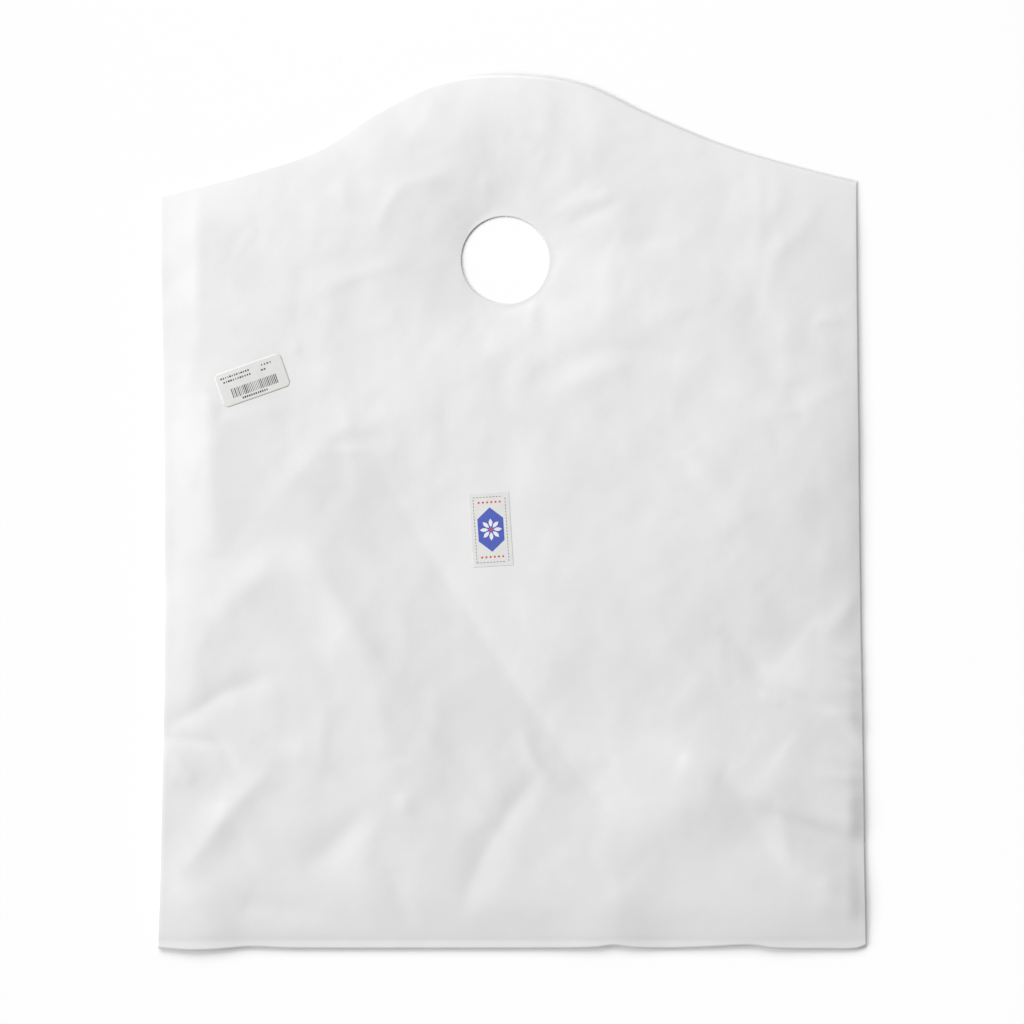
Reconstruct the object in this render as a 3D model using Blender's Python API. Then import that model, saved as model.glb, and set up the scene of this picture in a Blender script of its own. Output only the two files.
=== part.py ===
"""Plastic carrier bag, empty, lying flat on its back.

The bag is one piece of blown film: a flattened tube, welded shut across the
bottom, cut in a wave at the open mouth, with one round hand hole punched
through both plies. Two adhesive labels lie on the front ply.

Frame: metres, +Z up. The origin is on the surface that the bag lies on, under
the middle of its length and width. +Y points to the mouth, +X to the right.
"""
import math

import bmesh
import bpy

MM = 0.001

# Overall size of the flattened bag
WIDTH = 400 * MM
BOTTOM_Y = -250 * MM

# Film and side folds
WALL = 0.06 * MM
FOLD_REACH = 3 * MM
GAP_AT_FOLDS = 5 * MM
GAP_AT_MIDDLE = 7 * MM

# Bottom weld and the short skirt of loose film below it
SKIRT = 4.5 * MM
WELD_WIDTH = 1.5 * MM
WELD_GAP = 0.02 * MM
SKIRT_GAP = 0.4 * MM
WELD_RISE = 60 * MM
RISE_CROWDING = 1.4
WELD_LOW_Y = BOTTOM_Y + SKIRT
WELD_TOP_Y = WELD_LOW_Y + WELD_WIDTH

# Wave cut of the mouth: heights of the edge from the left fold to the right fold
MOUTH_WAVE = [(x * MM, y * MM) for x, y in (
    (-200, 182), (-150, 194.5), (-110, 208), (-77, 229), (-42, 245.5), (-4, 250),
    (40, 244.5), (80, 226.5), (120, 210), (160, 198), (200, 188))]
MOUTH_DATUM_Y = 225 * MM

# Hand hole through both plies
HOLE_X = -4 * MM
HOLE_Y = 144 * MM
HOLE_RADIUS = 25 * MM
HOLE_DIP = 0.25
HOLE_DIP_REACH = 9 * MM

# Labels: centre, size, corner radius and turn about +Z
LABEL_THICKNESS = 0.1 * MM
LABEL_CLEARANCE = 0.3 * MM
PRICE_LABEL = {"centre": (-148 * MM, 75 * MM), "size": (40 * MM, 20 * MM),
               "corner": 3 * MM, "turn": math.radians(19.4)}
EMBLEM_LABEL = {"centre": (-12 * MM, -10 * MM), "size": (23 * MM, 42 * MM),
                "corner": 0.4 * MM, "turn": math.radians(3.7)}

# Fineness of the mesh
FOLD_STEPS = 4
CELLS_BESIDE_HOLE = 8
CELLS_AT_HOLE = 8
CELLS_IN_RISE = 6
CELLS_IN_BODY = 13
CELLS_AT_MOUTH = 3
HOLE_BLOCK_HALF = 40 * MM
HOLE_RINGS = (0.0, 0.12, 0.45, 1.0)
CORNER_STEPS = 4


def ease(t):
    """Quick at the start and level at the end, for t from 0 to 1."""
    return math.sin(min(max(t, 0.0), 1.0) * math.pi / 2)


def smooth_step(t):
    """Level at both ends, for t from 0 to 1."""
    t = min(max(t, 0.0), 1.0)
    return t * t * (3 - 2 * t)


def wave_slope(index):
    """Slope of the wave at one of its points, from its neighbours on both sides."""
    left = MOUTH_WAVE[max(index - 1, 0)]
    right = MOUTH_WAVE[min(index + 1, len(MOUTH_WAVE) - 1)]
    return (right[1] - left[1]) / (right[0] - left[0])


def mouth_y(x):
    """Height of the cut mouth edge at x, on a smooth curve through the wave's points."""
    x = min(max(x, MOUTH_WAVE[0][0]), MOUTH_WAVE[-1][0])
    index = max(i for i in range(len(MOUTH_WAVE) - 1) if MOUTH_WAVE[i][0] <= x)
    (x0, y0), (x1, y1) = MOUTH_WAVE[index], MOUTH_WAVE[index + 1]
    span = x1 - x0
    t = (x - x0) / span
    start = y0 * (1 + 2 * t) * (1 - t) ** 2 + wave_slope(index) * span * t * (1 - t) ** 2
    end = y1 * t * t * (3 - 2 * t) + wave_slope(index + 1) * span * t * t * (t - 1)
    return start + end


def gap_between_plies(x, y):
    """Clear height between the two plies at one place."""
    if y < WELD_LOW_Y:
        return WELD_GAP + (SKIRT_GAP - WELD_GAP) * (WELD_LOW_Y - y) / SKIRT
    across = math.cos(math.pi * x / WIDTH) ** 2
    full = GAP_AT_FOLDS + (GAP_AT_MIDDLE - GAP_AT_FOLDS) * across
    to_rim = math.hypot(x - HOLE_X, y - HOLE_Y) - HOLE_RADIUS
    full *= 1 - HOLE_DIP * math.exp(-(to_rim / HOLE_DIP_REACH) ** 2)
    return WELD_GAP + (full - WELD_GAP) * ease((y - WELD_TOP_Y) / WELD_RISE)


def run(start, end, cells):
    """Evenly spaced places after start, up to and including end."""
    return [start + (end - start) * i / cells for i in range(1, cells + 1)]


def stations_across():
    """Places across the tube: fold centre x, lean towards the fold, and rise off the middle."""
    flat_half = WIDTH / 2 - WALL - FOLD_REACH
    fold = [math.radians(90) * step / FOLD_STEPS for step in range(FOLD_STEPS)]
    left = [(-flat_half, -math.cos(a), math.sin(a)) for a in fold]
    flat = [-flat_half]
    flat += run(-flat_half, HOLE_X - HOLE_BLOCK_HALF, CELLS_BESIDE_HOLE)
    flat += run(HOLE_X - HOLE_BLOCK_HALF, HOLE_X + HOLE_BLOCK_HALF, CELLS_AT_HOLE)
    flat += run(HOLE_X + HOLE_BLOCK_HALF, flat_half, CELLS_BESIDE_HOLE)
    right = [(flat_half, math.cos(a), math.sin(a)) for a in reversed(fold)]
    return left + [(x, 0.0, 1.0) for x in flat] + right


def rows_along():
    """Row heights from the cut bottom edge to the mouth, before the mouth takes its wave."""
    rise_end = WELD_TOP_Y + WELD_RISE
    rows = [BOTTOM_Y, WELD_LOW_Y, WELD_TOP_Y]
    rows += [WELD_TOP_Y + WELD_RISE * (i / CELLS_IN_RISE) ** RISE_CROWDING for i in range(1, CELLS_IN_RISE)]
    rows += [rise_end]
    rows += run(rise_end, HOLE_Y - HOLE_BLOCK_HALF, CELLS_IN_BODY)
    rows += run(HOLE_Y - HOLE_BLOCK_HALF, HOLE_Y + HOLE_BLOCK_HALF, CELLS_AT_HOLE)
    rows += run(HOLE_Y + HOLE_BLOCK_HALF, MOUTH_DATUM_Y, CELLS_AT_MOUTH)
    return rows


def film_point(station, row_y, ply, skin):
    """A point of the film: ply is 1 for the front and -1 for the back; skin is 0 on the
    pocket's side of the film and WALL on its outside."""
    x_centre, lean, rise = station
    x = x_centre + lean * (FOLD_REACH + skin)
    follow = smooth_step(row_y / MOUTH_DATUM_Y)
    y = row_y + follow * (mouth_y(x) - MOUTH_DATUM_Y)
    return x, y, film_z(x, y, ply, skin, rise)


def film_z(x, y, ply, skin, rise=1.0):
    """Height of the film at a place, for a point with the given rise off the middle."""
    half_gap = gap_between_plies(x, y) / 2
    return WALL + half_gap + ply * rise * (half_gap + skin)


class Skin:
    """One side of one ply, as a grid of vertices with a round hole in it."""

    def __init__(self, bm, ply, skin, rows, stations, folds):
        self.bm = bm
        self.ply = ply
        self.skin = skin
        self.folds = folds
        self.grid = {}
        self.rings = []
        for j in rows:
            for i, station in enumerate(stations):
                if not self.in_hole_block(i, j, inside=True):
                    self.grid[i, j] = self.vertex(i, j, station)

    def vertex(self, i, j, station):
        """A new vertex, or the fold's own where the two plies share it."""
        if station[2] == 0.0:
            if (self.skin, i, j) not in self.folds:
                point = film_point(station, ROWS[j], self.ply, self.skin)
                self.folds[self.skin, i, j] = self.bm.verts.new(point)
            return self.folds[self.skin, i, j]
        return self.bm.verts.new(film_point(station, ROWS[j], self.ply, self.skin))

    @staticmethod
    def in_hole_block(i, j, inside):
        """Whether a vertex (inside=True) or the cell above and right of it lies in the block."""
        low_i, high_i, low_j, high_j = HOLE_BLOCK
        if inside:
            return low_i < i < high_i and low_j < j < high_j
        return low_i <= i < high_i and low_j <= j < high_j

    def quad(self, a, b, c, d):
        """Two triangles that face away from the film, split on the same diagonal on both sides."""
        outward = (self.ply > 0) == (self.skin > 0)
        for tri in ((a, b, c), (a, c, d)):
            self.bm.faces.new(tri if outward else tri[::-1])

    def fill_cells(self, first_row, last_row, stations):
        for j in range(first_row, last_row):
            for i in range(len(stations) - 1):
                if not self.in_hole_block(i, j, inside=False):
                    self.quad(self.grid[i, j], self.grid[i + 1, j],
                              self.grid[i + 1, j + 1], self.grid[i, j + 1])

    def fill_round_hole(self):
        """Rings of cells from the round rim out to the edge of the square block."""
        low_i, high_i, low_j, high_j = HOLE_BLOCK
        border = [(i, low_j) for i in range(low_i, high_i)]
        border += [(high_i, j) for j in range(low_j, high_j)]
        border += [(i, high_j) for i in range(high_i, low_i, -1)]
        border += [(low_i, j) for j in range(high_j, low_j, -1)]
        outer = [self.grid[key] for key in border]
        for share in HOLE_RINGS[:-1]:
            ring = []
            for corner in outer:
                angle = math.atan2(corner.co.y - HOLE_Y, corner.co.x - HOLE_X)
                reach = math.hypot(corner.co.y - HOLE_Y, corner.co.x - HOLE_X)
                radius = HOLE_RADIUS + (reach - HOLE_RADIUS) * share
                x = HOLE_X + radius * math.cos(angle)
                y = HOLE_Y + radius * math.sin(angle)
                ring.append(self.bm.verts.new((x, y, film_z(x, y, self.ply, self.skin))))
            self.rings.append(ring)
        self.rings.append(outer)
        for inner, wider in zip(self.rings, self.rings[1:]):
            for k in range(len(inner)):
                n = (k + 1) % len(inner)
                self.quad(inner[k], wider[k], wider[n], inner[n])


def close_strip(bm, first, second, closed=False):
    """A strip of triangles between two equally long lines of vertices."""
    count = len(first) if closed else len(first) - 1
    for k in range(count):
        n = (k + 1) % len(first)
        corners = []
        for vert in (first[k], first[n], second[n], second[k]):
            if vert not in corners:
                corners.append(vert)
        for third in range(2, len(corners)):
            bm.faces.new((corners[0], corners[third - 1], corners[third]))


def build_film():
    """The whole bag of film as one closed solid."""
    stations = stations_across()
    top = len(ROWS) - 1
    bm = bmesh.new()
    folds = {}
    outer = {ply: Skin(bm, ply, WALL, range(top + 1), stations, folds) for ply in (1, -1)}
    pocket = {ply: Skin(bm, ply, 0.0, range(WELD_TOP_ROW, top + 1), stations, folds) for ply in (1, -1)}
    skirt = {ply: Skin(bm, ply, 0.0, range(WELD_LOW_ROW + 1), stations, folds) for ply in (1, -1)}
    for ply in (1, -1):
        outer[ply].fill_cells(0, top, stations)
        pocket[ply].fill_cells(WELD_TOP_ROW, top, stations)
        skirt[ply].fill_cells(0, WELD_LOW_ROW, stations)
        outer[ply].fill_round_hole()
        pocket[ply].fill_round_hole()

    def line(side, row):
        return [side.grid[i, row] for i in range(len(stations))]

    for ply in (1, -1):
        close_strip(bm, line(outer[ply], top), line(pocket[ply], top))
        close_strip(bm, line(outer[ply], 0), line(skirt[ply], 0))
        close_strip(bm, outer[ply].rings[0], pocket[ply].rings[0], closed=True)
    close_strip(bm, line(pocket[1], WELD_TOP_ROW), line(pocket[-1], WELD_TOP_ROW))
    close_strip(bm, line(skirt[1], WELD_LOW_ROW), line(skirt[-1], WELD_LOW_ROW))
    bmesh.ops.recalc_face_normals(bm, faces=bm.faces)
    return bm


def label_outline(label):
    """Corner points of a label with rounded corners, laid in its place on the bag."""
    half_w, half_h = label["size"][0] / 2, label["size"][1] / 2
    corner, turn = label["corner"], label["turn"]
    points = []
    for quarter, (sx, sy) in enumerate(((1, 1), (-1, 1), (-1, -1), (1, -1))):
        for step in range(CORNER_STEPS + 1):
            angle = math.radians(90) * (quarter + step / CORNER_STEPS)
            u = sx * (half_w - corner) + corner * math.cos(angle)
            v = sy * (half_h - corner) + corner * math.sin(angle)
            points.append((label["centre"][0] + u * math.cos(turn) - v * math.sin(turn),
                           label["centre"][1] + u * math.sin(turn) + v * math.cos(turn)))
    return points


def build_label(label):
    """A thin label that follows the front ply, a hair above it."""
    bm = bmesh.new()
    low = film_z(*label["centre"], 1, WALL) + LABEL_CLEARANCE
    sides = []
    for lift in (LABEL_CLEARANCE, LABEL_CLEARANCE + LABEL_THICKNESS):
        sides.append([bm.verts.new((x, y, film_z(x, y, 1, WALL) + lift)) for x, y in label_outline(label)])
    middles = [bm.verts.new((*label["centre"], z)) for z in (low, low + LABEL_THICKNESS)]
    for side, middle in zip(sides, middles):
        for k, vert in enumerate(side):
            bm.faces.new((vert, side[(k + 1) % len(side)], middle))
    close_strip(bm, sides[0], sides[1], closed=True)
    bmesh.ops.recalc_face_normals(bm, faces=bm.faces)
    return bm


def make_material(name, colour, roughness):
    material = bpy.data.materials.new(name)
    material.use_nodes = True
    shader = material.node_tree.nodes["Principled BSDF"]
    shader.inputs["Base Color"].default_value = (*colour, 1.0)
    shader.inputs["Roughness"].default_value = roughness
    shader.inputs["Metallic"].default_value = 0.0
    return material


def add_object(name, bm, material):
    mesh = bpy.data.meshes.new(name)
    bm.to_mesh(mesh)
    bm.free()
    mesh.materials.append(material)
    mesh.shade_smooth()
    mesh.set_sharp_from_angle(angle=math.radians(40))
    obj = bpy.data.objects.new(name, mesh)
    bpy.context.scene.collection.objects.link(obj)
    return obj


ROWS = rows_along()
WELD_LOW_ROW = ROWS.index(WELD_LOW_Y)
WELD_TOP_ROW = ROWS.index(WELD_TOP_Y)
HOLE_TOP_ROW = len(ROWS) - 1 - CELLS_AT_MOUTH
HOLE_LEFT_STATION = FOLD_STEPS + CELLS_BESIDE_HOLE
HOLE_BLOCK = (HOLE_LEFT_STATION, HOLE_LEFT_STATION + CELLS_AT_HOLE,
              HOLE_TOP_ROW - CELLS_AT_HOLE, HOLE_TOP_ROW)


def main():
    for obj in list(bpy.data.objects):
        bpy.data.objects.remove(obj, do_unlink=True)
    film = make_material("white_film", (0.86, 0.86, 0.86), 0.42)
    paper = make_material("label_paper", (0.82, 0.82, 0.80), 0.55)
    print_blue = make_material("label_print", (0.18, 0.22, 0.52), 0.45)
    add_object("bag_film", build_film(), film)
    add_object("price_label", build_label(PRICE_LABEL), paper)
    add_object("emblem_label", build_label(EMBLEM_LABEL), print_blue)


main()
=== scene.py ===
"""White film carrier bag, lying empty on its back: the looks.

The bag is one shell of thin film, replacing the plain CAD solid. Its front ply
is drawn as a height above the table: a low pillow, the soft folds and creases
that film keeps from handling, and fine crinkles. Labels and their print follow
that ply. Lengths inside the functions are millimetres; meshes are in metres.
"""
import math

import bmesh
import bpy
import numpy as np
from mathutils import Matrix, Vector


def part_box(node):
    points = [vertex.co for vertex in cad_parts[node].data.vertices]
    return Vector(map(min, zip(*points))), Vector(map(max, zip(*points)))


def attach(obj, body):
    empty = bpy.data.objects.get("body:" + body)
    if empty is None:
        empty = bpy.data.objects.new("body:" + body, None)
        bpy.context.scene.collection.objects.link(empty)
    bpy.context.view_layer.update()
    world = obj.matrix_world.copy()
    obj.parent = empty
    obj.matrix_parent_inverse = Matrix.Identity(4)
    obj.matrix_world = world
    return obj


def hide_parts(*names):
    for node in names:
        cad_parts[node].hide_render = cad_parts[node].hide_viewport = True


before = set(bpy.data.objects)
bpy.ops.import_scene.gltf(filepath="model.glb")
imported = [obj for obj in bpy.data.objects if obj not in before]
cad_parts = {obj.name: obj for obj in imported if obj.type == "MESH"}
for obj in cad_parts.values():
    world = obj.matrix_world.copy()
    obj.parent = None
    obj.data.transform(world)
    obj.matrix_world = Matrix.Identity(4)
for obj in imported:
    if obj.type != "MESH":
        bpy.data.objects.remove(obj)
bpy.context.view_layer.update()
MM = 0.001


def node_box_mm(node):
    low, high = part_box(node)
    return np.array(low) / MM, np.array(high) / MM


FILM_LOW, FILM_HIGH = node_box_mm("bag_film")
PRICE_LOW, PRICE_HIGH = node_box_mm("price_label")
EMBLEM_LOW, EMBLEM_HIGH = node_box_mm("emblem_label")

# ---------------------------------------------------------------- sizes, mm

WALL = 0.06
FILM_SHOW_THROUGH = 0.14
BOTTOM = FILM_LOW[1]
MOUTH_DATUM = 225.0
MOUTH_WAVE = ((-200, 182), (-150, 194.5), (-110, 208), (-77, 229), (-42, 245.5), (-4, 250),
              (40, 244.5), (80, 226.5), (120, 210), (160, 198), (200, 188))
LEFT_EDGE = ((-250, -202), (-165, -200.4), (-80, -198.8), (40, -199.2), (182, -201))
RIGHT_EDGE = ((-250, 202), (-150, 200.8), (-40, 199), (80, 197.8), (190, 197))
BOTTOM_EDGE = ((-202, 1.0), (-184, -0.2), (-166, 0.4), (-150, 1.6), (-125, 0.8), (-60, 0.7), (20, 0.8),
               (48, 1.4), (58, 2.6), (70, 1.2), (90, 0.8), (112, 1.6), (136, 2.6), (150, 0.9),
               (180, 0.4), (196, 0.5), (202, 2.4))
HEM_LIFT = ((-202, 2.0), (-176, 3.2), (-150, 2.0), (-60, 1.7), (20, 1.9), (58, 3.0), (90, 1.7),
            (136, 2.8), (176, 2.0), (202, 1.4))
LEFT_FOLD_GAP = ((-250, 2.4), (-160, 2.4), (-110, 1.6), (-60, 1.3), (200, 1.3))
RIGHT_FOLD_GAP = 1.4
LEFT_SHOULDER = ((-250, 0.3), (-160, 0.5), (-120, 1.4), (-80, 2.3), (60, 1.8), (200, 3.0))
RIGHT_SHOULDER = ((-250, 1.2), (-100, 1.6), (30, 1.6), (100, 1.0), (200, 0.9))
SHOULDER_REACH = 19.0
MIDDLE_RISE = 0.6
WELD_LOW = BOTTOM + 4.6
WELD_TOP = BOTTOM + 5.9
WELD_GAP = 0.2
QUICK_RISE = 0.64
QUICK_REACH = 15.0
SLOW_REACH = 110.0
RELIEF_REACH = 22.0
MOUTH_REACH = 36.0
MOUTH_SHARE = ((-200, 0.76), (0, 0.5), (60, 0.24), (120, 0.2), (200, 0.3))
FOLD_REACH = 0.8
FOLD_SHARE = 0.35
FOLD_CALM = 14.0
HEM_SHARE = 0.85
HEM_EDGE = 9.0
HEM_FLAT = 7.0
HEM_FALL = 60.0

HOLE = np.array((-4.0, 144.0))
HOLE_RADIUS = 25.0
RIM_DIP = 1.2
RIM_REACH = 9.0
HOLLOW_DEPTH = 2.6
HOLLOW_REACH = 30.0

LABEL_THICKNESS = 0.04
LABEL_LIFT = 0.07
INK_LAYER = 0.015
PRICE = {"centre": (PRICE_LOW[:2] + PRICE_HIGH[:2]) / 2, "size": (40.0, 20.0), "corner": 3.0,
         "turn": math.radians(19.4)}
EMBLEM = {"centre": (EMBLEM_LOW[:2] + EMBLEM_HIGH[:2]) / 2, "size": (23.0, 42.0), "corner": 0.6,
          "turn": math.radians(3.7)}

FINE_CELL = 2.35
FOLD_CELLS = 8
RING_SHARES = (0.0, 0.02, 0.05, 0.09, 0.15, 0.23, 0.34, 0.48, 0.66, 0.84, 1.0)

# ------------------------------------------------- creases of the front ply, mm
# Each is: height, width, sharpness from 0 soft to 1 knife-like, lean from -1 to 1
# (how much steeper the left flank is), and the points that the crease runs through.

SIDE_FOLDS = (
    (0.35, 6.0, 0.5, 0.0, ((-179, 188), (-179, 139), (-178, 93))),
    (1.2, 13.0, 0.2, 0.0, ((-173, 66), (-172, 20), (-169, -26))),
    (0.4, 6.0, 0.3, 0.0, ((140, 204), (141, 171), (140, 136))),
)
DOME_CREASES = (
    (0.35, 5.0, 0.5, 0.2, ((-78, 160), (-75, 167), (-65, 183), (-50, 190), (-34, 193))),
    (0.35, 6.0, 0.5, 0.1, ((-115, 121), (-100, 131), (-87, 135), (-61, 144))),
    (0.3, 3.0, 0.6, 0.0, ((-99, 186), (-96, 179), (-95, 173))),
    (0.45, 4.0, 0.6, 0.2, ((-44, 153), (-44, 163), (-38, 171), (-26, 174))),
    (0.3, 3.0, 0.6, 0.0, ((-38, 161), (-33, 164), (-27, 165))),
    (0.35, 2.4, 0.7, 0.0, ((-16, 191), (-15, 183))),
    (0.3, 2.4, 0.7, 0.0, ((3, 219), (7, 213))),
    (0.3, 2.4, 0.7, 0.0, ((2, 243), (6, 239))),
    (0.3, 2.4, 0.7, 0.0, ((9, 209), (13, 205))),
    (0.3, 2.4, 0.7, 0.0, ((14, 200), (21, 204))),
    (0.3, 3.0, 0.7, 0.0, ((66, 218), (78, 214))),
    (0.3, 3.0, 0.7, 0.0, ((102, 209), (108, 205))),
    (0.45, 4.5, 0.5, 0.3, ((27, 172), (34, 176), (46, 178), (58, 180))),
    (-0.4, 4.0, 0.4, 0.0, ((35, 166), (46, 170), (60, 177))),
    (-0.45, 7.0, 0.1, 0.0, ((58, 151), (72, 154), (94, 156))),
    (0.3, 7.0, 0.2, 0.0, ((74, 109), (92, 114), (115, 122))),
    (0.35, 3.0, 0.6, 0.0, ((14, 121), (12, 112), (10, 102))),
)
MIDDLE_CREASES = (
    (0.7, 12.0, 0.25, 0.3, ((-142, -2), (-121, 23), (-98, 44), (-66, 53))),
    (-0.5, 7.0, 0.2, 0.0, ((-104, 38), (-86, 41), (-68, 40))),
    (0.3, 2.5, 0.8, 0.0, ((-107, 35), (-83, 35))),
    (-0.45, 8.0, 0.3, 0.0, ((8, 68), (24, 82), (55, 92), (95, 89))),
    (0.4, 7.0, 0.2, 0.0, ((22, 62), (39, 76), (64, 83))),
    (0.3, 2.0, 0.7, 0.0, ((-124, 96), (-122, 90))),
)
RIGHT_CREASES = (
    (0.35, 5.0, 0.3, 0.0, ((149, 197), (152, 180), (146, 166))),
    (0.5, 7.0, 0.35, 0.2, ((176, 177), (163, 160), (152, 148), (145, 129))),
    (0.35, 3.0, 0.5, 0.0, ((172, 105), (177, 110), (187, 108))),
    (0.45, 8.0, 0.3, 0.0, ((190, 75), (178, 66), (165, 58))),
    (-0.5, 9.0, 0.1, 0.0, ((160, 74), (160, 58))),
    (0.7, 9.0, 0.3, 0.0, ((100, 36), (113, 18), (134, -5))),
    (-0.7, 9.0, 0.2, 0.0, ((142, -40), (156, -54), (172, -64))),
    (0.6, 7.0, 0.3, 0.0, ((200, -43), (190, -57), (180, -69))),
)
LOWER_LEFT_CREASES = (
    (0.5, 12.0, 0.4, 0.3, ((-128, -16), (-146, -36), (-167, -60), (-184, -86))),
    (1.1, 13.0, 0.3, 0.2, ((-158, -50), (-136, -34), (-112, -38), (-92, -68), (-78, -100), (-70, -140))),
    (-0.7, 6.0, 0.5, 0.0, ((-200, -124), (-178, -112), (-164, -103), (-138, -95))),
    (-0.8, 4.5, 0.6, 0.0, ((-200, -127), (-184, -130), (-169, -132), (-158, -143))),
    (0.8, 6.0, 0.4, 0.0, ((-199, -134), (-188, -145), (-182, -154))),
    (-0.8, 6.0, 0.3, 0.0, ((-193, -155), (-180, -162), (-166, -170))),
    (1.4, 10.0, 0.4, 0.2, ((-140, -148), (-163, -173), (-180, -196), (-190, -208))),
    (-0.9, 9.0, 0.2, 0.0, ((-120, -203), (-100, -188), (-84, -171))),
    (0.5, 6.0, 0.4, 0.0, ((-124, -136), (-112, -140), (-100, -146))),
    (0.6, 5.0, 0.5, 0.0, ((-63, -161), (-60, -171))),
    (0.9, 6.0, 0.4, 0.2, ((-192, -212), (-182, -219), (-168, -231), (-152, -237))),
    (-0.9, 8.0, 0.2, 0.0, ((-152, -222), (-135, -228), (-110, -234))),
)
LOWER_MIDDLE_CREASES = (
    (0.7, 5.0, 0.5, 0.0, ((6, -125), (13, -143), (23, -153))),
    (-1.1, 9.0, 0.4, -0.3, ((14, -150), (-2, -172), (-16, -195), (-24, -213), (-30, -236))),
    (-0.9, 8.0, 0.3, 0.0, ((-70, -204), (-62, -225), (-52, -242))),
    (0.3, 2.5, 0.7, 0.0, ((18, -82), (24, -87))),
    (0.3, 2.5, 0.7, 0.0, ((44, -140), (52, -144))),
    (0.3, 2.5, 0.7, 0.0, ((71, -165), (79, -169))),
)
LOWER_RIGHT_CREASES = (
    (0.9, 8.0, 0.3, 0.0, ((96, -140), (110, -147), (119, -151))),
    (-0.6, 7.0, 0.4, 0.0, ((118, -66), (132, -78), (143, -92))),
    (0.6, 4.0, 0.6, 0.0, ((142, -104), (154, -110))),
    (0.5, 4.0, 0.4, 0.0, ((176, -211), (186, -215))),
    (0.5, 4.0, 0.4, 0.0, ((188, -227), (199, -229))),
)
ALL_CREASES = (SIDE_FOLDS + DOME_CREASES + MIDDLE_CREASES + RIGHT_CREASES + LOWER_LEFT_CREASES
               + LOWER_MIDDLE_CREASES + LOWER_RIGHT_CREASES)

# The long hollow across the lower half: the foot line's ends and its bow, how deep it is,
# how wide its left slope is, and how far its right side takes to come back up
TROUGH = {"depth": 5.0, "width": 58.0, "carry": 75.0, "bow": 6.0, "start": (74, -196), "end": (-88, 46)}

# One-sided slopes: height, width, how far the high side carries on, and the foot line,
# with the high side on its left
STEPS = (
    (2.2, 10.0, 26.0, ((112, -144), (131, -166), (155, -177), (179, -185), (203, -193))),
    (1.6, 12.0, 16.0, ((118, -156), (139, -186), (153, -205), (169, -219), (194, -240))),
    (1.6, 9.0, 20.0, ((130, -84), (145, -100), (169, -112), (185, -124), (203, -138))),
)

# Broad swells and hollows: height, half length, half width, turn in degrees, centre
SWELLS = (
    (3.4, 150.0, 120.0, 90.0, (10, -80)),
    (-1.6, 40.0, 24.0, -70.0, (-26, -160)),
    (1.6, 60.0, 18.0, -43.0, (180, -216)),
    (2.4, 44.0, 24.0, -20.0, (106, -150)),
    (-1.4, 40.0, 14.0, -8.0, (-136, -236)),
    (2.4, 85.0, 50.0, 90.0, (142, 0)),
    (-1.0, 44.0, 16.0, -35.0, (158, -84)),
    (1.2, 30.0, 60.0, 90.0, (-170, -60)),
    (2.0, 62.0, 34.0, 90.0, (-164, 48)),
)

# Short gathers across the right fold, by height along the bag
PUCKERS = (-84, -95, -102, -116, -123, -143, -152, -164, -171, -178)

# ------------------------------------------------------------- plain maths


def smooth_step(t):
    t = np.clip(t, 0.0, 1.0)
    return t * t * (3 - 2 * t)


def ease(t):
    return np.sin(np.clip(t, 0.0, 1.0) * math.pi / 2)


def curve_through(points, x):
    """Value at x of a smooth curve through the points, level with its neighbours' slope."""
    px = np.array([p[0] for p in points], float)
    py = np.array([p[1] for p in points], float)
    slope = np.empty_like(py)
    slope[1:-1] = (py[2:] - py[:-2]) / (px[2:] - px[:-2])
    slope[0] = (py[1] - py[0]) / (px[1] - px[0])
    slope[-1] = (py[-1] - py[-2]) / (px[-1] - px[-2])
    x = np.clip(x, px[0], px[-1])
    k = np.clip(np.searchsorted(px, x, side="right") - 1, 0, len(px) - 2)
    span = px[k + 1] - px[k]
    t = (x - px[k]) / span
    start = py[k] * (1 + 2 * t) * (1 - t) ** 2 + slope[k] * span * t * (1 - t) ** 2
    end = py[k + 1] * t * t * (3 - 2 * t) + slope[k + 1] * span * t * t * (t - 1)
    return start + end


def path_through(points, per_span=8):
    """Points along a smooth path through the given ones."""
    keys = np.array(points, float)
    s = np.concatenate(([0.0], np.cumsum(np.hypot(*np.diff(keys, axis=0).T))))
    fine = np.linspace(0.0, s[-1], per_span * (len(keys) - 1) + 1)
    return np.column_stack([curve_through(list(zip(s, keys[:, c])), fine) for c in (0, 1)])


def soft_noise(x, y, size, seed, stretch=1.0):
    """Smooth noise of about -1 to 1 with bumps of that size, the same for the same seed.
    Each seed turns the pattern its own way; stretch lengthens the bumps one way."""
    random = np.random.RandomState(seed)
    angle = random.uniform(0, 2 * math.pi)
    table = random.uniform(0, 2 * math.pi, (64, 64))
    c, s = math.cos(angle) / size, math.sin(angle) / size
    x, y = x * c + y * s, (y * c - x * s) / stretch
    ix, iy = np.floor(x).astype(int), np.floor(y).astype(int)
    fx, fy = x - ix, y - iy

    def corner(i, j):
        turn = table[(ix + i) % 64, (iy + j) % 64]
        return np.cos(turn) * (fx - i) + np.sin(turn) * (fy - j)

    wx = fx ** 3 * (fx * (fx * 6 - 15) + 10)
    wy = fy ** 3 * (fy * (fy * 6 - 15) + 10)
    low = corner(0, 0) * (1 - wx) + corner(1, 0) * wx
    high = corner(0, 1) * (1 - wx) + corner(1, 1) * wx
    return 1.5 * (low * (1 - wy) + high * wy)


def ridge_noise(x, y, size, seed, stretch=1.0):
    """Noise with narrow crests, like the lines of crushed film."""
    return 1 - 2 * np.sqrt(soft_noise(x, y, size, seed, stretch) ** 2 + 0.002)


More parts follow.
